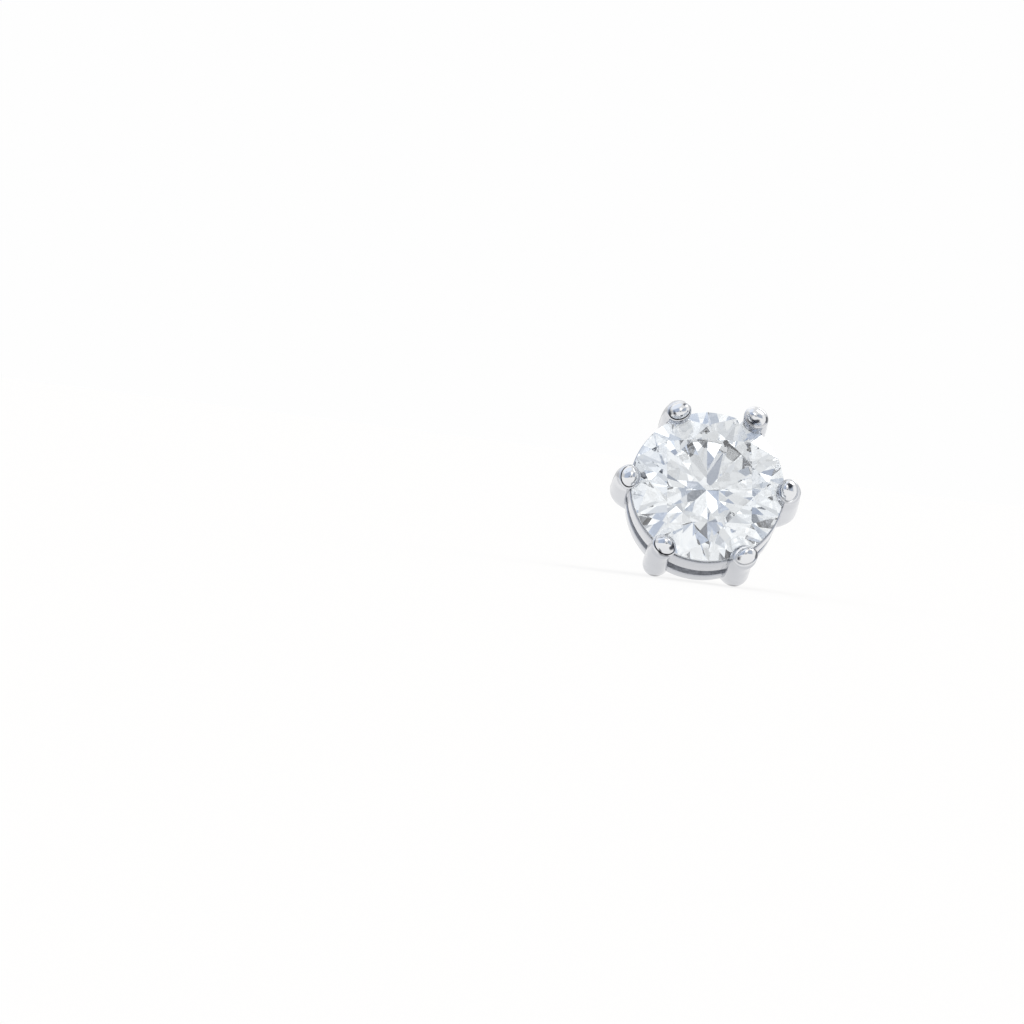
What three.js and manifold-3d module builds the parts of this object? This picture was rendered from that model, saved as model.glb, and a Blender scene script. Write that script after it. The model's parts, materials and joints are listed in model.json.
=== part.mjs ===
// A solitaire ear stud: a round brilliant held by six claws in an open basket, on a plain post.
// The jewel is drawn along its own axis first, with the girdle at z = 0 and the table to +Z,
// and is then laid down as it rests by itself, on two claws and the end of the post, face to -Y.
// Millimetres and degrees, +Z up.

import * as THREE from "three";
import { mergeVertices } from "three/addons/utils/BufferGeometryUtils.js";
import Module from "manifold-3d";

// The stone, a round brilliant of about one carat. Shares are of its radius or of a facet's reach.
const stoneDiameter = 6.5;
const tableShare = 0.6;
const girdleHeight = 0.2;
const crownSlope = 34.5;
const pavilionSlope = 40.75;
const starReach = 0.5;
const lowerHalfReach = 0.77;
const stoneTurn = 29;
const stoneFold = 8;
const girdleSides = 64;

// The claws, six bent wires with a bead at the tip. Each row is a point of a claw's centre line.
const clawCount = 6;
const clawLine = [
  { out: 0.95, up: -4.5 },
  { out: 1.66, up: -4.39 },
  { out: 2.46, up: -4.01 },
  { out: 3.09, up: -3.35 },
  { out: 3.43, up: -2.54 },
  { out: 3.47, up: -1.5 },
  { out: 3.44, up: -0.4 },
  { out: 3.41, up: 0.4 },
  { out: 3.39, up: 1.12 },
];
const clawFootRadius = 0.42;
const clawRadius = 0.53;
const clawTaperEnd = 0.45;
const beadRadius = 0.43;
const beadHeight = 0.42;
const creaseRadius = 0.41;
const creaseBelowBead = 0.09;
const shoulderHeight = 0.22;
const clawSides = 14;
const clawBodyRings = 11;
const beadRings = 4;

// The two rails that tie the claws together under the girdle
const rails = [
  { outer: 3.31, inner: 2.6, top: -0.3, bottom: -1.5 },
  { outer: 3.27, inner: 2.68, top: -2.58, bottom: -3.26 },
];
const railEdgeRadius = 0.12;
const railEdgeSteps = 2;
const railSides = 60;

// The base, a small cup where the claws meet, with a blind socket for the post
const baseRadius = 1.45;
const baseTop = -4.0;
const baseBack = -4.95;
const baseEdgeRadius = 0.25;
const baseEdgeSteps = 3;
const baseSides = 36;
const socketDepth = 0.6;

// The post, a drawn wire with a broken edge at its free end
const postRadius = 0.45;
const postEnd = -13.65;
const postChamfer = 0.13;
const postSides = 24;

// Clearance of the stone in its seat and of the post in its socket
const seatGap = 0.06;

// How the resting lean is searched for
const steepestLean = 45;
const leanHalvings = 50;

// Vertices closer than this are one when a mesh becomes a solid.
const weldDistance = 1e-5;

// Finishes
const diamond = { color: 0xeef3fa, roughness: 0.0, metalness: 0.0 };
const whiteGold = { color: 0xdfe1e5, roughness: 0.1, metalness: 1.0 };

const wasm = await Module();
wasm.setup();

const radians = THREE.MathUtils.degToRad;

// Closed meshes become solids for joining and cutting, and solids become meshes again.
function solidFrom(geometry) {
  const bare = geometry.clone();
  bare.deleteAttribute("normal");
  bare.deleteAttribute("uv");
  const welded = mergeVertices(bare, weldDistance);
  return new wasm.Manifold(new wasm.Mesh({
    numProp: 3,
    vertProperties: welded.attributes.position.array,
    triVerts: new Uint32Array(welded.index.array),
  }));
}

function geometryFrom(solid) {
  const mesh = solid.getMesh();
  const geometry = new THREE.BufferGeometry();
  geometry.setAttribute("position", new THREE.BufferAttribute(mesh.vertProperties, 3));
  geometry.setIndex(new THREE.BufferAttribute(mesh.triVerts, 1));
  geometry.computeVertexNormals();
  return geometry;
}

// A profile of [radius, height] pairs turned about the jewel's axis
function turned(profile, sides) {
  const points = profile.map(([radius, height]) => new THREE.Vector2(radius, height));
  return new THREE.LatheGeometry(points, sides).rotateX(Math.PI / 2);
}

// A quarter turn round a centre from startAngle on, as [radius, height] pairs
function quarterRound(radius, height, size, startAngle, steps) {
  return Array.from({ length: steps + 1 }, (_, i) => {
    const angle = radians(startAngle + (90 * i) / steps);
    return [radius + size * Math.cos(angle), height + size * Math.sin(angle)];
  });
}

// The stone: a round blank cut by one plane per facet, each set outwards by the gap. A row is a ring
// of facets: how many, the ring's turn, the tilt of their outward normals from +Z, and the radius
// and height of a point on each plane. The rings are the table, crown mains, stars, upper halves,
// pavilion mains and lower halves.
function cutStone(gap) {
  const girdle = stoneDiameter / 2;
  const halfGirdle = girdleHeight / 2;
  const step = 360 / stoneFold;
  const acrossMain = Math.cos(radians(step / 2));
  const acrossHalf = Math.cos(radians(step / 4));
  const crownRise = Math.tan(radians(crownSlope));
  const pavilionDrop = Math.tan(radians(pavilionSlope));

  const tableCorner = girdle * tableShare;
  const tableEdge = tableCorner * acrossMain;
  const tableHeight = halfGirdle + (girdle - tableCorner) * crownRise;
  const starTip = tableEdge + starReach * (girdle - tableEdge);
  const starTipHeight = halfGirdle + (girdle - starTip * acrossMain) * crownRise;
  const lowerTip = girdle * (1 - lowerHalfReach);
  const lowerTipDepth = (girdle - lowerTip * acrossMain) * pavilionDrop;

  const slopeOf = (rise, run) => THREE.MathUtils.radToDeg(Math.atan2(rise, run));
  const starSlope = slopeOf(tableHeight - starTipHeight, starTip - tableEdge);
  const upperSlope = slopeOf(starTipHeight - halfGirdle, (girdle - starTip) * acrossHalf);
  const lowerSlope = slopeOf(lowerTipDepth, (girdle - lowerTip) * acrossHalf);

  const mains = stoneFold;
  const halves = 2 * stoneFold;
  const chord = girdle * acrossHalf;
  const rings = [
    { count: 1, turn: 0, tilt: 0, radius: 0, height: tableHeight },
    { count: mains, turn: 0, tilt: crownSlope, radius: girdle, height: halfGirdle },
    { count: mains, turn: step / 2, tilt: starSlope, radius: tableEdge, height: tableHeight },
    { count: halves, turn: step / 4, tilt: upperSlope, radius: chord, height: halfGirdle },
    { count: mains, turn: 0, tilt: 180 - pavilionSlope, radius: girdle, height: -halfGirdle },
    { count: halves, turn: step / 4, tilt: 180 - lowerSlope, radius: chord, height: -halfGirdle },
  ];

  const blank = new THREE.CylinderGeometry(girdle + gap, girdle + gap, stoneDiameter * 2, girdleSides);
  blank.rotateX(Math.PI / 2).rotateZ(radians(stoneTurn));
  let stone = solidFrom(blank);
  for (const ring of rings) {
    for (let i = 0; i < ring.count; i += 1) {
      const azimuth = radians(stoneTurn + ring.turn + (360 * i) / ring.count);
      const outward = Math.sin(radians(ring.tilt));
      const upward = Math.cos(radians(ring.tilt));
      const inwardNormal = [-outward * Math.cos(azimuth), -outward * Math.sin(azimuth), -upward];
      const reach = outward * ring.radius + upward * ring.height + gap;
      stone = stone.trimByPlane(inwardNormal, -reach);
    }
  }
  return stone;
}

// A claw is turned straight as a round wire with a bead at its tip, then bent to its centre line.
function clawProfile(length) {
  const beadStart = length - beadHeight;
  const crease = beadStart - creaseBelowBead;
  const shoulder = crease - shoulderHeight;
  const profile = [[0, 0]];
  for (let i = 0; i <= clawBodyRings; i += 1) {
    const along = (shoulder * i) / clawBodyRings;
    const taper = Math.min(1, i / clawBodyRings / clawTaperEnd);
    profile.push([THREE.MathUtils.lerp(clawFootRadius, clawRadius, taper), along]);
  }
  profile.push([(clawRadius + beadRadius) / 2, crease - shoulderHeight / 4]);
  profile.push([creaseRadius, crease]);
  for (let i = 0; i < beadRings; i += 1) {
    const angle = radians((90 * i) / beadRings);
    profile.push([beadRadius * Math.cos(angle), beadStart + beadHeight * Math.sin(angle)]);
  }
  profile.push([0, length]);
  return profile.map(([radius, along]) => new THREE.Vector2(radius, along));
}

function bentClaw() {
  const line = new THREE.CatmullRomCurve3(clawLine.map((p) => new THREE.Vector3(p.out, 0, p.up)));
  const length = line.getLength();
  const claw = new THREE.LatheGeometry(clawProfile(length), clawSides);
  const places = claw.attributes.position;
  const vertex = new THREE.Vector3();
  for (let i = 0; i < places.count; i += 1) {
    vertex.fromBufferAttribute(places, i);
    const share = THREE.MathUtils.clamp(vertex.y / length, 0, 1);
    const centre = line.getPointAt(share);
    const tangent = line.getTangentAt(share);
    const outward = new THREE.Vector3(tangent.z, 0, -tangent.x);
    const sideways = new THREE.Vector3().crossVectors(outward, tangent);
    centre.addScaledVector(outward, vertex.x).addScaledVector(sideways, vertex.z);
    places.setXYZ(i, centre.x, centre.y, centre.z);
  }
  return claw;
}

// A rail is a ring of upright section with rounded edges.
function railRing({ outer, inner, top, bottom }) {
  const r = railEdgeRadius;
  const profile = [
    ...quarterRound(outer - r, bottom + r, r, -90, railEdgeSteps),
    ...quarterRound(outer - r, top - r, r, 0, railEdgeSteps),
    ...quarterRound(inner + r, top - r, r, 90, railEdgeSteps),
    ...quarterRound(inner + r, bottom + r, r, 180, railEdgeSteps),
  ];
  return turned([...profile, profile[0]], railSides);
}

function baseCup() {
  const r = baseEdgeRadius;
  const profile = [
    [0, baseBack],
    ...quarterRound(baseRadius - r, baseBack + r, r, -90, baseEdgeSteps),
    ...quarterRound(baseRadius - r, baseTop - r, r, 0, baseEdgeSteps),
    [0, baseTop],
  ];
  return turned(profile, baseSides);
}

function postSocket() {
  const radius = postRadius + seatGap;
  const depth = socketDepth * 2;
  const socket = new THREE.CylinderGeometry(radius, radius, depth, postSides);
  return socket.rotateX(Math.PI / 2).translate(0, 0, baseBack);
}

// The setting: claws, rails and base in one solid, with the stone's seat and the post's socket cut
// out and its back left flat.
function castSetting() {
  const claw = bentClaw();
  let setting = solidFrom(baseCup());
  for (const rail of rails) {
    setting = setting.add(solidFrom(railRing(rail)));
  }
  for (let i = 0; i < clawCount; i += 1) {
    setting = setting.add(solidFrom(claw.clone().rotateZ(radians((360 * i) / clawCount))));
  }
  return setting
    .subtract(cutStone(seatGap))
    .subtract(solidFrom(postSocket()))
    .trimByPlane([0, 0, 1], baseBack);
}

function earPost() {
  const top = baseBack + socketDepth - seatGap;
  const profile = [
    [0, postEnd],
    [postRadius - postChamfer, postEnd],
    [postRadius, postEnd + postChamfer],
    [postRadius, top],
    [0, top],
  ];
  return solidFrom(turned(profile, postSides));
}

// The jewel, as named pieces on its own axis
function piece(name, solid, finish) {
  const mesh = new THREE.Mesh(geometryFrom(solid), new THREE.MeshStandardMaterial(finish));
  mesh.name = name;
  return mesh;
}

const stone = piece("stone", cutStone(0), diamond);
const setting = piece("setting", castSetting(), whiteGold);
const post = piece("ear_post", earPost(), whiteGold);

// Laid down: the face leans back until the lowest claws and the post's end are at one height.
function lowestPoint(mesh, lean) {
  const places = mesh.geometry.attributes.position;
  const up = Math.sin(radians(lean));
  const across = Math.cos(radians(lean));
  let lowest = Infinity;
  for (let i = 0; i < places.count; i += 1) {
    lowest = Math.min(lowest, places.getY(i) * across + places.getZ(i) * up);
  }
  return lowest;
}

function restingLean() {
  let low = 0;
  let high = steepestLean;
  for (let i = 0; i < leanHalvings; i += 1) {
    const lean = (low + high) / 2;
    if (lowestPoint(setting, lean) < lowestPoint(post, lean)) {
      low = lean;
    } else {
      high = lean;
    }
  }
  return (low + high) / 2;
}

const jewel = new THREE.Group();
jewel.add(stone, setting, post);
jewel.rotation.x = radians(90 - restingLean());

// The origin is on the floor, under the middle of the jewel's box.
const box = new THREE.Box3().setFromObject(jewel, true);
jewel.position.set(-(box.min.x + box.max.x) / 2, -(box.min.y + box.max.y) / 2, -box.min.z);

const earStud = new THREE.Group();
earStud.add(jewel);

export default earStud;
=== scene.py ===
import json

import bpy
import numpy as np
from mathutils import Matrix


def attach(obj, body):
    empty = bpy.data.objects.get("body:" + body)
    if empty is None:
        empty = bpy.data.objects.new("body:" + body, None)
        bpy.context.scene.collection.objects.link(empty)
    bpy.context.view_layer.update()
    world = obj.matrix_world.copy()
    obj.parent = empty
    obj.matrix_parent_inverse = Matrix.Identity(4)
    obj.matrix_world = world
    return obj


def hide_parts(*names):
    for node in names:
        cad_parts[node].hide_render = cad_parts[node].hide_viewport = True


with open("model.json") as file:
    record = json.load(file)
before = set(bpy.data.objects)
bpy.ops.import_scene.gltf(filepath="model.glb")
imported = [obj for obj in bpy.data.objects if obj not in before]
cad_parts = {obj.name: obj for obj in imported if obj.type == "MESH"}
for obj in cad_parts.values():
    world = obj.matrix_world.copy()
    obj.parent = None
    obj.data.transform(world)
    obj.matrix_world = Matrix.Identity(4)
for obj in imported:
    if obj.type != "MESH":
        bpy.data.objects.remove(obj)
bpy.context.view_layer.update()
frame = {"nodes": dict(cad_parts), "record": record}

# Setting
# One casting in white gold, rhodium plated and polished: six claws bent up from a small base and
# tied together by two gallery rails. A seat is cut in each claw for the edge of the stone, and the
# tip of each claw is worked to a bead that grips the crown.

# Sizes are in millimetres in the jewel's own frame, out from its axis and up from the girdle to the
# face. The stud lies on two claws and its post, so its axis comes from the flat end of the post.
MM = 0.001
POST_REACH = 13.65
post_end = next(m for m in frame["record"]["mounts"] if m["name"] == "post_end")
face = -np.array(post_end["axis"]) / np.linalg.norm(post_end["axis"])
across = np.array([1.0, 0.0, 0.0])
up = np.cross(face, across)
girdle_centre = np.array(post_end["pos_m"]) + POST_REACH * MM * face


def lay_down(points):
    """Points in millimetres across, up and out of the girdle's centre, moved to where the stud lies."""
    return girdle_centre + MM * (points @ np.array([across, up, face]))


def mesh_piece(name, points, faces):
    """An object at the origin from an array of points and a list of arrays of faces."""
    mesh = bpy.data.meshes.new(name)
    mesh.from_pydata(points.tolist(), [], [f for group in faces for f in group.tolist()])
    mesh.validate()
    piece = bpy.data.objects.new(name, mesh)
    bpy.context.collection.objects.link(piece)
    return piece


def ringed(name, rings, closes):
    """A skin over rings of points, quads from each ring to the next.

    A skin that closes joins its last ring to its first, and another ends in a fan at each end."""
    count, sides = rings.shape[:2]
    i = np.arange(count if closes else count - 1)[:, None]
    j = np.arange(sides)[None, :]
    following = (i + 1) % count
    beside = (j + 1) % sides
    quads = np.stack([
        i * sides + j,
        i * sides + beside,
        following * sides + beside,
        following * sides + j,
    ], axis=-1).reshape(-1, 4)
    points = rings.reshape(-1, 3)
    if closes:
        return mesh_piece(name, lay_down(points), [quads])
    first, last = count * sides, count * sides + 1
    points = np.vstack([points, rings[0].mean(axis=0), rings[-1].mean(axis=0)])
    k = np.arange(sides)
    after = (k + 1) % sides
    low = np.stack([np.full(sides, first), after, k], axis=-1)
    start = (count - 1) * sides
    high = np.stack([np.full(sides, last), start + k, start + after], axis=-1)
    return mesh_piece(name, lay_down(points), [quads, low, high])


def turned(profile, sides):
    """Rings of a profile of radius and height turned about the jewel's axis."""
    angle = np.linspace(0, 2 * np.pi, sides, endpoint=False)
    circle = np.stack([np.cos(angle), np.sin(angle)], axis=-1)
    flat = profile[:, :1, None] * circle[None]
    heights = np.broadcast_to(profile[:, 1][:, None, None], flat.shape[:2] + (1,))
    return np.concatenate([flat, heights], axis=-1)


def arc(radius, height, size, start, sweep, steps):
    """An arc of a circle about a point of the profile, from a start angle through a sweep, in degrees."""
    angle = np.radians(start + np.linspace(0, sweep, steps))
    return np.stack([radius + size * np.cos(angle), height + size * np.sin(angle)], axis=-1)


def eased(share):
    """A share from nought to one that starts and ends gently: three times its square less twice its cube."""
    return share * share * (3 - 2 * share)


# Claws, bent wires with a shoulder, a groove and a bead at the tip.
CLAW_TIPS = np.array([
    # how far each tip was pressed outwards and sideways, the side where its groove is deepest, in
    # degrees from straight out, and its share of the full depth, from the right-hand claw on
    (0.00, 0.11, 180, 0.4),
    (0.17, 0.12, 120, 0.0),
    (-0.05, -0.13, 150, 0.9),
    (-0.03, 0.20, 30, 1.0),
    (-0.05, 0.15, 10, 1.0),
    (0.15, 0.18, -30, 0.3),
])
PRESSED_FROM = -0.5
CLAW_LINE = np.array([
    # out of the axis, up from the girdle
    (0.95, -4.50),
    (1.66, -4.39),
    (2.46, -4.01),
    (3.09, -3.35),
    (3.43, -2.54),
    (3.47, -1.50),
    (3.44, -0.40),
    (3.41, 0.40),
    (3.39, 1.12),
])
CURVE_STEPS = 2000
LINE_STEPS = 400
CLAW_FOOT_RADIUS = 0.42
CLAW_RADIUS = 0.53
CLAW_TAPER_END = 0.45
CLAW_SIDES = 40
WIRE_RINGS = 60
SHOULDER_HEIGHT = 0.24
GROOVE_WIDTH = 0.035
GROOVE_DEPTH = 0.045
GROOVE_MEAN = 0.55
GROOVE_SWING = 0.60
BEAD_RADIUS = 0.41
BEAD_HEIGHT = 0.42
BEAD_OVAL = (0.86, 1.10)
BEAD_LEAN = 0.10
BEAD_LUMP = 0.035
BEAD_RINGS = 14
BEAD_TIP_DROP = 0.001
BEAD_TIP_RADIUS = 0.03


def smooth_line(table, count):
    """Points at even steps along a smooth line through the rows of a table.

    Between two rows the line is a cubic whose slope at each row is that of its neighbours."""
    knot = np.concatenate([[0], np.cumsum(np.linalg.norm(np.diff(table, axis=0), axis=1))])
    slope = np.gradient(table, knot, axis=0)
    t = np.linspace(0, knot[-1], CURVE_STEPS)
    k = np.clip(np.searchsorted(knot, t, side="right") - 1, 0, len(knot) - 2)
    h = (knot[k + 1] - knot[k])[:, None]
    s = ((t - knot[k])[:, None]) / h
    line = (
        (2 * s**3 - 3 * s**2 + 1) * table[k]
        + (s**3 - 2 * s**2 + s) * h * slope[k]
        + (3 * s**2 - 2 * s**3) * table[k + 1]
        + (s**3 - s**2) * h * slope[k + 1]
    )
    run = np.concatenate([[0], np.cumsum(np.linalg.norm(np.diff(line, axis=0), axis=1))])
    even = np.linspace(0, run[-1], count)
    return np.stack([np.interp(even, run, line[:, c]) for c in range(2)], axis=-1), even


def claw_profile(length):
    """Distance along the claw, its radius there, how much of the bead's oval it has, how far its rings
    dip into the groove round the bead, and how far up the bead they are.

    A wire that swells from its foot, a rounded shoulder, the groove, and the bead inside the groove,
    whose radius falls as a quarter of an ellipse."""
    bead_start = length - BEAD_HEIGHT
    shoulder_start = bead_start - SHOULDER_HEIGHT
    along = np.linspace(0, shoulder_start, WIRE_RINGS)
    grown = eased(np.clip(along / length / CLAW_TAPER_END, 0, 1))
    radius = CLAW_FOOT_RADIUS + (CLAW_RADIUS - CLAW_FOOT_RADIUS) * grown
    quarter = np.linspace(0, np.pi / 2, BEAD_RINGS)
    rim = BEAD_RADIUS + GROOVE_WIDTH
    none, full = np.zeros_like(quarter), np.ones_like(quarter)
    wire = np.stack([along, radius, 0 * along, 0 * along, 0 * along], axis=-1)
    shoulder = np.stack([
        shoulder_start + SHOULDER_HEIGHT * np.sin(quarter),
        rim + (CLAW_RADIUS - rim) * np.cos(quarter),
        np.sin(quarter),
        none,
        none,
    ], axis=-1)
    groove = np.array([(bead_start, BEAD_RADIUS + GROOVE_WIDTH / 2, 1, GROOVE_DEPTH, 0)])
    bead = np.stack([
        bead_start + BEAD_HEIGHT * np.sin(quarter),
        BEAD_RADIUS * np.cos(quarter),
        full,
        GROOVE_DEPTH / 2 * (quarter == 0),
        np.sin(quarter),
    ], axis=-1)
    tip = np.array([(length - BEAD_TIP_DROP, BEAD_TIP_RADIUS, 1, 0, 1)])
    return np.concatenate([wire, shoulder[1:], groove, bead[:-1], tip])


def claw_rings(turn, press_out, press_aside, groove_side, groove_share):
    """Circles of the claw's profile carried along its centre line, in the plane of a turn about the axis.

    The press moves the tip outwards and sideways, and dies away smoothly down the claw. The groove
    round the bead fades from its deep side to the other as a raised cosine. The bead's top slopes
    outwards, and has a lump of two waves round it that was left by the setting tool."""
    line, run = smooth_line(CLAW_LINE, LINE_STEPS)
    along, radius, oval, dip, crown = claw_profile(run[-1]).T[:, :, None]
    angle = np.linspace(0, 2 * np.pi, CLAW_SIDES, endpoint=False)
    side = angle - np.radians(groove_side)
    spread = radius / BEAD_RADIUS
    shift = (
        -groove_share * dip * np.clip(GROOVE_MEAN + GROOVE_SWING * np.cos(side), 0, 1)
        - BEAD_LEAN * crown * spread * np.cos(angle)
        + BEAD_LUMP * crown * spread**2 * np.cos(2 * side)
    )
    heading = np.gradient(line, run, axis=0)
    heading /= np.linalg.norm(heading, axis=1, keepdims=True)
    out, high = [np.interp(along, run, line[:, c]) for c in range(2)]
    lean, rise = [np.interp(along, run, heading[:, c]) for c in range(2)]
    outward = radius * np.cos(angle) * (1 + (BEAD_OVAL[0] - 1) * oval)
    sideways = radius * np.sin(angle) * (1 + (BEAD_OVAL[1] - 1) * oval)
    reach = out + rise * outward + lean * shift
    height = high - lean * outward + rise * shift
    share = eased(np.clip((height - PRESSED_FROM) / (CLAW_LINE[-1, 1] - PRESSED_FROM), 0, 1))
    reach = reach + press_out * share
    sideways = sideways + press_aside * share
    c, s = np.cos(turn), np.sin(turn)
    return np.stack([reach * c - sideways * s, reach * s + sideways * c, height], axis=-1)


# Rails, two upright bands whose edges were rounded in polishing.
RAILS = (
    # outer radius, inner radius, top, bottom
    (3.31, 2.60, -0.30, -1.50),
    (3.27, 2.68, -2.58, -3.26),
)
RAIL_EDGE = 0.06
RAIL_OUTER_STEPS = 8
RAIL_INNER_STEPS = 5
RAIL_SIDES = 168


def rail_profile(outer, inner, top, bottom):
    """A closed upright section with rounded edges, up its outer side and down its inner side."""
    r = RAIL_EDGE
    return np.concatenate([
        arc(outer - r, bottom + r, r, -90, 90, RAIL_OUTER_STEPS),
        arc(outer - r, top - r, r, 0, 90, RAIL_OUTER_STEPS),
        arc(inner + r, top - r, r, 90, 90, RAIL_INNER_STEPS),
        arc(inner + r, bottom + r, r, 180, 90, RAIL_INNER_STEPS),
    ])


# Base, a button that the claws grow from, with a fillet of solder at the root of the post.
BASE_RADIUS = 1.45
BASE_TOP = -4.00
BASE_BACK = -4.95
BASE_EDGE = 0.25
BASE_TOP_MIDDLE = 0.30
BASE_SIDES = 96
EDGE_STEPS = 10
POST_RADIUS = 0.45
SOLDER_WIDTH = 0.22


def base_profile():
    """From the post's root out over a solder fillet, round the edge of the base and in again over its top."""
    return np.concatenate([
        [(POST_RADIUS / 2, BASE_BACK - SOLDER_WIDTH)],
        arc(POST_RADIUS + SOLDER_WIDTH, BASE_BACK - SOLDER_WIDTH, SOLDER_WIDTH, 180, -90, EDGE_STEPS),
        arc(BASE_RADIUS - BASE_EDGE, BASE_BACK + BASE_EDGE, BASE_EDGE, -90, 90, EDGE_STEPS),
        arc(BASE_RADIUS - BASE_EDGE, BASE_TOP - BASE_EDGE, BASE_EDGE, 0, 90, EDGE_STEPS),
        [(BASE_TOP_MIDDLE, BASE_TOP)],
    ])


WELD_DISTANCE = 0.0005


def joined(body, others, operation):
    """The body after a boolean with each of the others, which are used up."""
    for other in others:
        cut = body.modifiers.new(other.name, "BOOLEAN")
        cut.operation = operation
        cut.solver = "MANIFOLD"
        cut.object = other
    weld = body.modifiers.new("weld", "WELD")
    weld.merge_threshold = WELD_DISTANCE * MM
    result = body.evaluated_get(bpy.context.evaluated_depsgraph_get())
    mesh = bpy.data.meshes.new_from_object(result)
    body.modifiers.clear()
    body.data = mesh
    for other in others:
        bpy.data.objects.remove(other)


basket = ringed("claw_basket", turned(base_profile(), BASE_SIDES), closes=False)
rails = [ringed(f"rail_{n}", turned(rail_profile(*sizes), RAIL_SIDES), closes=True)
         for n, sizes in enumerate(RAILS)]
claws = [ringed(f"claw_{n}", claw_rings(2 * np.pi * n / len(CLAW_TIPS), *tip), closes=False)
         for n, tip in enumerate(CLAW_TIPS)]
joined(basket, rails + claws, "UNION")

# The seat is the stone itself, a little larger, and the socket a bore for the post's root.
SEAT_GROWTH = 1.01
SOCKET_DEPTH = 0.60
SOCKET_GAP = 0.01
stone = frame["nodes"]["stone"]
seat = bpy.data.objects.new("seat", stone.data.copy())
bpy.context.collection.objects.link(seat)
seat_weld = seat.modifiers.new("weld", "WELD")
seat_weld.merge_threshold = WELD_DISTANCE * MM
to_girdle = Matrix.Translation(girdle_centre)
seat.data.transform(to_girdle @ Matrix.Scale(SEAT_GROWTH, 4) @ to_girdle.inverted())
bore = POST_RADIUS + SOCKET_GAP
socket_profile = np.array([
    (bore, BASE_BACK - 2 * SOLDER_WIDTH),
    (bore, BASE_BACK + SOCKET_DEPTH),
])
socket = ringed("socket", turned(socket_profile, BASE_SIDES), closes=False)
joined(basket, [seat, socket], "DIFFERENCE")

SHARP_ANGLE = 34.0
basket.data.shade_smooth()
basket.data.set_sharp_from_angle(angle=np.radians(SHARP_ANGLE))


def linear(colour):
    """An sRGB hex colour as a linear one."""
    srgb = np.array([int(colour[i:i + 2], 16) / 255 for i in (1, 3, 5)])
    value = np.where(srgb <= 0.04045, srgb / 12.92, ((srgb + 0.055) / 1.055) ** 2.4)
    return (*value.tolist(), 1.0)


def add_node(tree, kind, links=None, values=None, **settings):
    """A node with its settings, its sockets' values, and its sockets' links to other nodes' outputs."""
    node = tree.nodes.new(kind)
    for name, value in settings.items():
        setattr(node, name, value)
    for socket, value in (values or {}).items():
        node.inputs[socket].default_value = value
    for socket, source in (links or {}).items():
        tree.links.new(source, node.inputs[socket])
    return node


def new_material(name):
    """An empty node material, its tree and its output node."""
    material = bpy.data.materials.new(name)
    material.use_nodes = True
    material.node_tree.nodes.clear()
    return material, material.node_tree, add_node(material.node_tree, "ShaderNodeOutputMaterial")


# A Mix node's sockets by number: two numbers, two colours, and the number or colour that comes out.
NUMBER_A, NUMBER_B, NUMBER_OUT = 2, 3, 0
COLOUR_A, COLOUR_B, COLOUR_OUT = 6, 7, 2

# Rhodium-plated white gold. The outside is wheel-polished to a soft satin mirror with hazy patches and
# fine lines. The beads are burnished smooth by the setting tool and given a lighter colour as a painted
# sheen, with dark spots on them as painted reflections. The inside of the basket keeps the grey matt skin
# of the casting, painted in two mottled greys between the rails as painted shade, and the creases are
# darkened as painted shade. The lines and the cast grain are drawn coarser than real ones, so that they show
# at all.
GOLD_COLOUR = "#CDCFD4"
GOLD_ROUGHNESS = (0.10, 0.20)
HAZE_PATCH = 0.9
HAZE_RANGE = (0.35, 0.70)
POLISH_LINE = 0.05
CAST_COLOUR = "#B0B2B7"
CAST_ROUGHNESS = 0.42
CAST_GRAIN = 0.09
RELIEF_DEPTH = 0.006
RELIEF_STRENGTH = 0.25
LINE_RELIEF_SHARE = 0.08
white_gold, gold_tree, gold_output = new_material("rhodium_plated_white_gold")
place = add_node(gold_tree, "ShaderNodeTexCoord").outputs["Object"]
haze = add_node(gold_tree, "ShaderNodeTexNoise", {"Vector": place},
                {"Scale": 1 / (HAZE_PATCH * MM), "Detail": 3.0, "Roughness": 0.55})
lines = add_node(gold_tree, "ShaderNodeTexNoise", {"Vector": place},
                 {"Scale": 1 / (POLISH_LINE * MM), "Detail": 2.0})
grain = add_node(gold_tree, "ShaderNodeTexNoise", {"Vector": place},
                 {"Scale": 1 / (CAST_GRAIN * MM), "Detail": 3.0})

# The cast skin fills a bowl, a rounded block about the jewel's axis, just inside the outer faces of
# the claws and rails and below the rim of the upper rail: the sum of the fourth powers of the shares
# of its radius and of its half depth is one on its wall.
BOWL_CENTRE = -0.80
BOWL_RADIUS = 3.30
BOWL_DEPTH = 3.35
BOWL_POWER = 4.0
BOWL_WALL = (0.955, 1.0)
BOWL_RIM = (-0.45, -0.25)
bowl = add_node(gold_tree, "ShaderNodeMapping", {"Vector": place},
                {"Location": girdle_centre + BOWL_CENTRE * MM * face,
                 "Rotation": (np.arctan2(up[2], up[1]), 0.0, 0.0),
                 "Scale": (BOWL_RADIUS * MM, BOWL_RADIUS * MM, BOWL_DEPTH * MM)},
                vector_type="TEXTURE").outputs["Vector"]
axial = add_node(gold_tree, "ShaderNodeSeparateXYZ", {"Vector": bowl}).outputs["Z"]
sideways = add_node(gold_tree, "ShaderNodeVectorMath", {0: bowl}, {1: (1.0, 1.0, 0.0)},
                    operation="MULTIPLY")
radial = add_node(gold_tree, "ShaderNodeVectorMath", {0: sideways.outputs["Vector"]}, operation="LENGTH")
radial_power = add_node(gold_tree, "ShaderNodeMath", {0: radial.outputs["Value"]}, {1: BOWL_POWER},
                        operation="POWER")
axial_size = add_node(gold_tree, "ShaderNodeMath", {0: axial}, operation="ABSOLUTE")
axial_power = add_node(gold_tree, "ShaderNodeMath", {0: axial_size.outputs[0]}, {1: BOWL_POWER},
                       operation="POWER")
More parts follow.
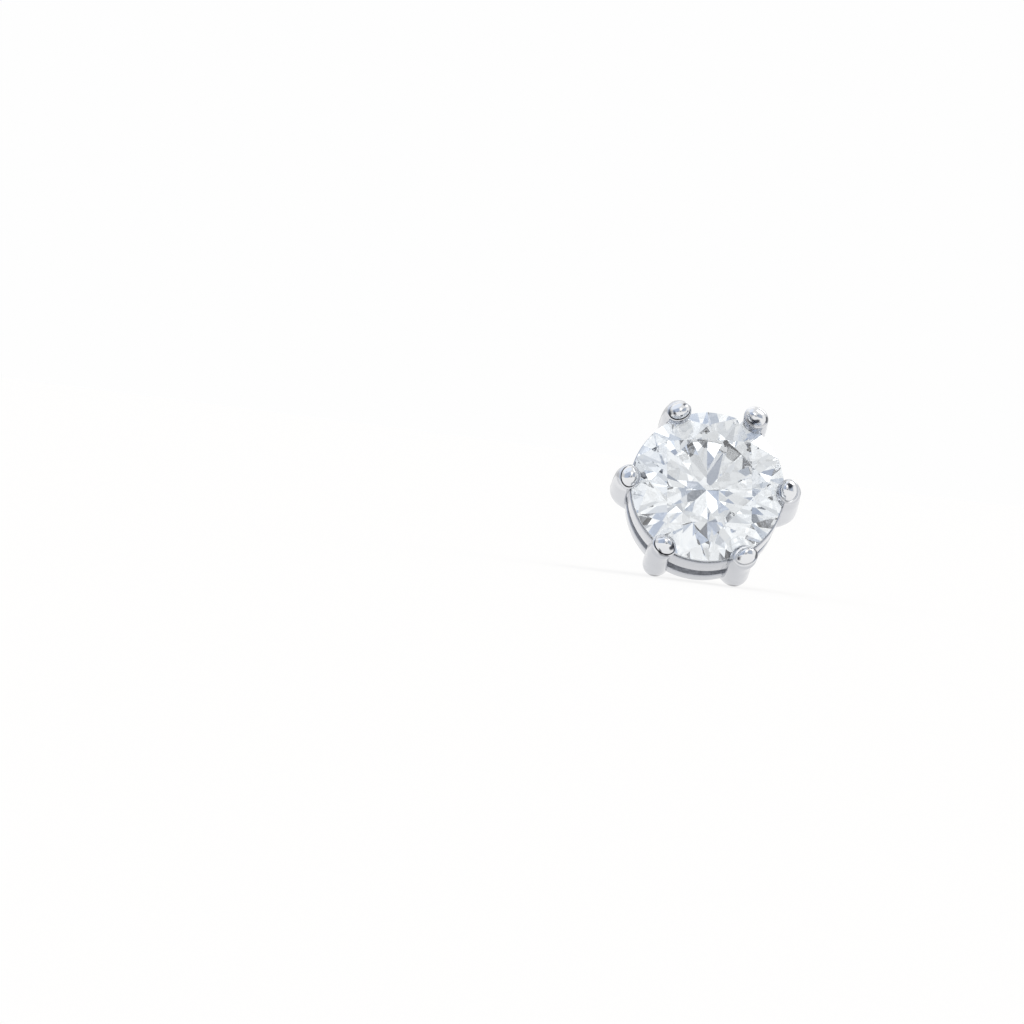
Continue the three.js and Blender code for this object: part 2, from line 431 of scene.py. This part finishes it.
block = add_node(gold_tree, "ShaderNodeMath", {0: radial_power.outputs[0], 1: axial_power.outputs[0]},
                 operation="ADD")
outside = add_node(gold_tree, "ShaderNodeMapRange", {"Value": block.outputs[0]},
                   {"From Min": BOWL_WALL[0], "From Max": BOWL_WALL[1]}).outputs["Result"]
rim_edges = [(level - BOWL_CENTRE) / BOWL_DEPTH for level in BOWL_RIM]
above = add_node(gold_tree, "ShaderNodeMapRange", {"Value": axial},
                 {"From Min": rim_edges[0], "From Max": rim_edges[1]}).outputs["Result"]
polished = add_node(gold_tree, "ShaderNodeMath", {0: outside, 1: above}, operation="MAXIMUM").outputs[0]

# Between the rails the skin is painted in two mottled greys, as painted shade in the slot.
SLOT_SHADE_COLOURS = ("#B4B6BC", "#E2E4E8")
SLOT_CENTRE = -2.04
SLOT_HALF = (0.52, 0.58)
MOTTLE_RANGE = (0.35, 0.65)
slot_way = add_node(gold_tree, "ShaderNodeMath", {0: axial},
                    {1: (SLOT_CENTRE - BOWL_CENTRE) / BOWL_DEPTH}, operation="SUBTRACT")
slot_far = add_node(gold_tree, "ShaderNodeMath", {0: slot_way.outputs[0]}, operation="ABSOLUTE")
slot_edges = [half / BOWL_DEPTH for half in SLOT_HALF]
out_of_slot_shade = add_node(gold_tree, "ShaderNodeMapRange", {"Value": slot_far.outputs[0]},
                     {"From Min": slot_edges[0], "From Max": slot_edges[1]}).outputs["Result"]
mottle = add_node(gold_tree, "ShaderNodeMapRange", {"Value": grain.outputs["Fac"]},
                  {"From Min": MOTTLE_RANGE[0], "From Max": MOTTLE_RANGE[1]})
mottled_slot_shade = add_node(gold_tree, "ShaderNodeMix", {"Factor": mottle.outputs["Result"]},
                   {COLOUR_A: linear(SLOT_SHADE_COLOURS[0]), COLOUR_B: linear(SLOT_SHADE_COLOURS[1])},
                   data_type="RGBA")
# The cast grey outside the slot, and the painted shade inside it.
cast_and_slot_shade = add_node(gold_tree, "ShaderNodeMix", {"Factor": out_of_slot_shade, COLOUR_A: mottled_slot_shade.outputs[COLOUR_OUT]},
                {COLOUR_B: linear(CAST_COLOUR)}, data_type="RGBA")
skin = add_node(gold_tree, "ShaderNodeMix", {"Factor": polished, COLOUR_A: cast_and_slot_shade.outputs[COLOUR_OUT]},
                {COLOUR_B: linear(GOLD_COLOUR)}, data_type="RGBA")

# The beads' painted sheen, the dark spots on them as painted reflections, and the painted shade in the
# creases.
# The beads are burnished smooth, and their lighter colour than the rest of the metal is a painted sheen.
BEAD_SHEEN_COLOUR = "#E9EAEC"
BURNISHED_ROUGHNESS = 0.05
BURNISH_AND_SHEEN_FROM = (0.62, 0.72)
# Dark spots painted on the beads by noise, as painted reflections.
SPOT_REFLECTION_COLOUR = "#4A4C53"
SPOT_REFLECTION_SPACING = 0.5
SPOT_REFLECTION_RANGE = (0.59, 0.66)
SPOT_REFLECTION_SEED = 6.0
# Painted shade: the creases are darkened toward this grey by ambient occlusion.
CREASE_SHADE_COLOUR = "#4E5057"
CREASE_REACH = 0.10
CREASE_RANGE = (0.25, 0.65)
bead_edges = [(level - BOWL_CENTRE) / BOWL_DEPTH for level in BURNISH_AND_SHEEN_FROM]
burnish_and_sheen = add_node(gold_tree, "ShaderNodeMapRange", {"Value": axial},
                     {"From Min": bead_edges[0], "From Max": bead_edges[1]}).outputs["Result"]
# The beads' lighter colour, a painted sheen.
bead_sheen = add_node(gold_tree, "ShaderNodeMix", {"Factor": burnish_and_sheen, COLOUR_A: skin.outputs[COLOUR_OUT]},
                  {COLOUR_B: linear(BEAD_SHEEN_COLOUR)}, data_type="RGBA")
# Painted reflections: dark spots placed by noise on the beads.
spot_reflection_noise = add_node(gold_tree, "ShaderNodeTexNoise", {"Vector": place},
                 {"Scale": 1 / (SPOT_REFLECTION_SPACING * MM), "Detail": 1.0, "W": SPOT_REFLECTION_SEED},
                 noise_dimensions="4D")
spot_reflection = add_node(gold_tree, "ShaderNodeMapRange", {"Value": spot_reflection_noise.outputs["Fac"]},
                {"From Min": SPOT_REFLECTION_RANGE[0], "From Max": SPOT_REFLECTION_RANGE[1]})
spot_reflection_share = add_node(gold_tree, "ShaderNodeMath", {0: spot_reflection.outputs["Result"], 1: burnish_and_sheen},
                      operation="MULTIPLY")
spot_reflected = add_node(gold_tree, "ShaderNodeMix",
                  {"Factor": spot_reflection_share.outputs[0], COLOUR_A: bead_sheen.outputs[COLOUR_OUT]},
                  {COLOUR_B: linear(SPOT_REFLECTION_COLOUR)}, data_type="RGBA")
# Ambient occlusion darkens the metal where it is closed in, as painted shade in the creases.
crease = add_node(gold_tree, "ShaderNodeAmbientOcclusion", None, {"Distance": CREASE_REACH * MM})
unshaded = add_node(gold_tree, "ShaderNodeMapRange", {"Value": crease.outputs["AO"]},
                {"From Min": CREASE_RANGE[0], "From Max": CREASE_RANGE[1]})
tone = add_node(gold_tree, "ShaderNodeMix",
                {"Factor": unshaded.outputs["Result"], COLOUR_B: spot_reflected.outputs[COLOUR_OUT]},
                {COLOUR_A: linear(CREASE_SHADE_COLOUR)}, data_type="RGBA")

shine = add_node(gold_tree, "ShaderNodeMapRange", {"Value": haze.outputs["Fac"]},
                 {"From Min": HAZE_RANGE[0], "From Max": HAZE_RANGE[1],
                  "To Min": GOLD_ROUGHNESS[0], "To Max": GOLD_ROUGHNESS[1]})
matt = add_node(gold_tree, "ShaderNodeMix", {"Factor": polished, NUMBER_B: shine.outputs["Result"]},
                {NUMBER_A: CAST_ROUGHNESS})
finish = add_node(gold_tree, "ShaderNodeMix", {"Factor": burnish_and_sheen, NUMBER_A: matt.outputs[NUMBER_OUT]},
                  {NUMBER_B: BURNISHED_ROUGHNESS})
texture = add_node(gold_tree, "ShaderNodeMix",
                   {"Factor": polished, NUMBER_A: grain.outputs["Fac"], NUMBER_B: lines.outputs["Fac"]})
texture_share = add_node(gold_tree, "ShaderNodeMix", {"Factor": polished},
                         {NUMBER_A: 1.0, NUMBER_B: LINE_RELIEF_SHARE})
texture_height = add_node(gold_tree, "ShaderNodeMath",
                          {0: texture.outputs[NUMBER_OUT], 1: texture_share.outputs[NUMBER_OUT]},
                          operation="MULTIPLY")
relief = add_node(gold_tree, "ShaderNodeBump", {"Height": texture_height.outputs[0]},
                  {"Strength": RELIEF_STRENGTH, "Distance": RELIEF_DEPTH * MM})
metal = add_node(gold_tree, "ShaderNodeBsdfPrincipled",
                 {"Base Color": tone.outputs[COLOUR_OUT], "Roughness": finish.outputs[NUMBER_OUT],
                  "Normal": relief.outputs["Normal"]},
                 {"Metallic": 1.0})
gold_tree.links.new(metal.outputs["BSDF"], gold_output.inputs["Surface"])

basket.data.materials.clear()
basket.data.materials.append(white_gold)
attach(basket, "root")
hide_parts("setting")

# Post
# A length of drawn white-gold wire, soldered in the base, with its free end rounded over so that it
# goes through a pierced ear. It is hidden from the front and plainly finished.
POST_EDGE = 0.16
POST_END_MIDDLE = 0.12
POST_STRAIGHT_FROM = 0.40
POST_RINGS = 24
POST_SIDES = 64
ROOT_GAP = 0.05
root_top = BASE_BACK + SOCKET_DEPTH - ROOT_GAP
straight = np.linspace(-POST_REACH + POST_STRAIGHT_FROM, root_top, POST_RINGS)
post_profile = np.concatenate([
    [(POST_END_MIDDLE, -POST_REACH)],
    arc(POST_RADIUS - POST_EDGE, -POST_REACH + POST_EDGE, POST_EDGE, -90, 90, EDGE_STEPS),
    np.stack([np.full(POST_RINGS, POST_RADIUS), straight], axis=-1),
    [(POST_END_MIDDLE, root_top)],
])
post = ringed("post_wire", turned(post_profile, POST_SIDES), closes=False)
post.data.shade_smooth()
post.data.set_sharp_from_angle(angle=np.radians(SHARP_ANGLE))
post.data.materials.append(white_gold)
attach(post, "root")
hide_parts("ear_post")

# Stone
# A colourless round brilliant, its facets cut flat and polished and its girdle left finely ground.
# It drops into the seats of the claws, whose beads are then pressed over its edge.

# Diamond has the highest index of the common gems and takes a perfect polish. The girdle, the only
# face that stands parallel to the axis, is ground to a fine grey matt.
DIAMOND_IOR = 2.417
FACET_COLOUR = "#F8FCFF"
GIRDLE_COLOUR = "#E4E7EA"
GIRDLE_ROUGHNESS = 0.35
GIRDLE_TILT = (0.05, 0.15)
diamond, diamond_tree, diamond_output = new_material("diamond")
normal = add_node(diamond_tree, "ShaderNodeNewGeometry").outputs["True Normal"]
along_axis = add_node(diamond_tree, "ShaderNodeVectorMath", {0: normal}, {1: face},
                      operation="DOT_PRODUCT")
tilt = add_node(diamond_tree, "ShaderNodeMath", {0: along_axis.outputs["Value"]}, operation="ABSOLUTE")
ground = add_node(diamond_tree, "ShaderNodeMapRange", {"Value": tilt.outputs[0]},
                  {"From Min": GIRDLE_TILT[0], "From Max": GIRDLE_TILT[1],
                   "To Min": 1.0, "To Max": 0.0}).outputs["Result"]
clear = add_node(diamond_tree, "ShaderNodeMix", {"Factor": ground},
                 {COLOUR_A: linear(FACET_COLOUR), COLOUR_B: linear(GIRDLE_COLOUR)}, data_type="RGBA")
grit = add_node(diamond_tree, "ShaderNodeMath", {0: ground}, {1: GIRDLE_ROUGHNESS},
                operation="MULTIPLY")
glass = add_node(diamond_tree, "ShaderNodeBsdfPrincipled",
                 {"Base Color": clear.outputs[COLOUR_OUT], "Roughness": grit.outputs[0]},
                 {"IOR": DIAMOND_IOR, "Transmission Weight": 1.0})
diamond_tree.links.new(glass.outputs["BSDF"], diamond_output.inputs["Surface"])
stone.data.materials.clear()
stone.data.materials.append(diamond)

# Studio
# A white table under a white tent, with a soft lamp in front, a stronger one behind on the right and
# grey screens at the sides. The tent is the world's light, and its dark disc is the lens that the
# beads and facets mirror.

# The round claws reach a hair lower than the flat-sided solids of the frame, and so does the table.
FLOOR_SIZE = 1200.0
FLOOR_DROP = 0.022
PAPER_COLOUR = "#7A7875"
PAPER_GLOW = 0.80
floor_corners = FLOOR_SIZE * np.array([(-1, -1, 0), (1, -1, 0), (1, 1, 0), (-1, 1, 0)])
floor_corners = MM * (floor_corners - (0, 0, FLOOR_DROP))
floor = mesh_piece("floor", floor_corners, [np.array([(0, 1, 2, 3)])])
paper, paper_tree, paper_output = new_material("white_paper")
sheet = add_node(paper_tree, "ShaderNodeBsdfPrincipled", None,
                 {"Base Color": linear(PAPER_COLOUR), "Roughness": 1.0, "Specular IOR Level": 0.0,
                  "Emission Color": linear("#FFFFFF"), "Emission Strength": PAPER_GLOW})
paper_tree.links.new(sheet.outputs["BSDF"], paper_output.inputs["Surface"])
floor.data.materials.append(paper)

# Each panel is a round patch of the tent: azimuth from the front and elevation, the half-angles where
# it is full and where it ends, its colour and its strength.
TENT_PANELS = (
    # lamps in front and behind
    (-12, 48, 12, 17, "#FFFFFF", 2.0),
    (130, 52, 13, 19, "#FFFFFF", 3.5),
    # grey screens on the left and right
    (-60, 20, 25, 40, "#B8C3D7", 1.0),
    (50, 25, 20, 34, "#B5BDCA", 1.0),
    (22, 22, 7, 11, "#98A2B6", 1.0),
    # white panels behind and at the right
    (-120, 50, 22, 36, "#DCE2EC", 1.3),
    (-160, 28, 15, 28, "#FFFFFF", 1.05),
    (105, 12, 18, 34, "#FFFFFF", 1.0),
    # small dark flags, which put a few dark facets in the stone
    (35, 40, 4, 6, "#6A6F78", 1.0),
    (-38, 12, 4, 6, "#4A4E57", 1.0),
    # the camera and its lens
    (-3, 0, 10, 15, "#959CAA", 1.0),
    (-3, 0, 6, 9, "#101114", 1.0),
)
WALL_LEVELS = (0.715, 0.88)
BACKDROP_COLOUR = "#FEFEFE"


def toward(azimuth, elevation):
    """The unit vector to an azimuth, from the front and to the right, and an elevation, in degrees."""
    turn, rise = np.radians([azimuth, elevation])
    return np.array([np.sin(turn) * np.cos(rise), -np.cos(turn) * np.cos(rise), np.sin(rise)])


scene = bpy.context.scene
world = bpy.data.worlds.new("tent")
scene.world = world
world.use_nodes = True
tent_tree = world.node_tree
tent_tree.nodes.clear()
direction = add_node(tent_tree, "ShaderNodeTexCoord").outputs["Generated"]
level = add_node(tent_tree, "ShaderNodeSeparateXYZ", {"Vector": direction}).outputs["Z"]
walls = add_node(tent_tree, "ShaderNodeMapRange", {"Value": level},
                 {"To Min": WALL_LEVELS[0], "To Max": WALL_LEVELS[1]})
tent = walls.outputs["Result"]
for azimuth, elevation, inner, outer, tint, strength in TENT_PANELS:
    facing = add_node(tent_tree, "ShaderNodeVectorMath", {0: direction}, {1: toward(azimuth, elevation)},
                      operation="DOT_PRODUCT")
    patch = add_node(tent_tree, "ShaderNodeMapRange", {"Value": facing.outputs["Value"]},
                     {"From Min": np.cos(np.radians(outer)), "From Max": np.cos(np.radians(inner))},
                     interpolation_type="SMOOTHSTEP")
    glow = [strength * channel for channel in linear(tint)[:3]] + [1.0]
    panel = add_node(tent_tree, "ShaderNodeMix", {"Factor": patch.outputs["Result"], COLOUR_A: tent},
                     {COLOUR_B: glow}, data_type="RGBA")
    tent = panel.outputs[COLOUR_OUT]
lit = add_node(tent_tree, "ShaderNodeBackground", {"Color": tent})
seen = add_node(tent_tree, "ShaderNodeBackground", None, {"Color": linear(BACKDROP_COLOUR)})
camera_ray = add_node(tent_tree, "ShaderNodeLightPath").outputs["Is Camera Ray"]
mixed = add_node(tent_tree, "ShaderNodeMixShader", {0: camera_ray, 1: lit.outputs[0], 2: seen.outputs[0]})
add_node(tent_tree, "ShaderNodeOutputWorld", {"Surface": mixed.outputs[0]})

# Camera
# Level with the head of the stud and just off its axis, so that the face leans back from the lens
# as in the photograph, and turned so that the claws stand at the same places round the stone.
STONE_PIXEL = (707.6, 486.9)
FRAME_PIXELS = 1024
PIXEL_SIZE = 0.0424
LENS_DISTANCE = 400.0
AZIMUTH = -3.2
ELEVATION = 0.35
ROLL = 7.3
SENSOR = 36.0
CLIP_START = 0.005
CLIP_END = 10.0

look = -toward(AZIMUTH, ELEVATION)
level_right = np.cross(look, [0, 0, 1])
level_right /= np.linalg.norm(level_right)
level_up = np.cross(level_right, look)
roll = np.radians(ROLL)
camera_right = level_right * np.cos(roll) + level_up * np.sin(roll)
camera_up = level_up * np.cos(roll) - level_right * np.sin(roll)
eye = girdle_centre - look * LENS_DISTANCE * MM
offset = PIXEL_SIZE * MM * (np.array(STONE_PIXEL) - FRAME_PIXELS / 2)
aim = girdle_centre - camera_right * offset[0] + camera_up * offset[1]
forward = (aim - eye) / np.linalg.norm(aim - eye)
right = np.cross(forward, camera_up)
right /= np.linalg.norm(right)
upright = np.cross(right, forward)

camera_data = bpy.data.cameras.new("camera")
camera_data.sensor_width = SENSOR
camera_data.lens = SENSOR * LENS_DISTANCE / (FRAME_PIXELS * PIXEL_SIZE)
camera_data.clip_start = CLIP_START
camera_data.clip_end = CLIP_END
camera = bpy.data.objects.new("camera", camera_data)
bpy.context.collection.objects.link(camera)
camera.matrix_world = Matrix.Translation(eye) @ Matrix([right, upright, -forward]).transposed().to_4x4()
scene.camera = camera

# Light turns back many times inside a brilliant before it comes out.
scene.view_settings.view_transform = "Standard"
scene.cycles.max_bounces = 40
scene.cycles.glossy_bounces = 32
scene.cycles.transmission_bounces = 40
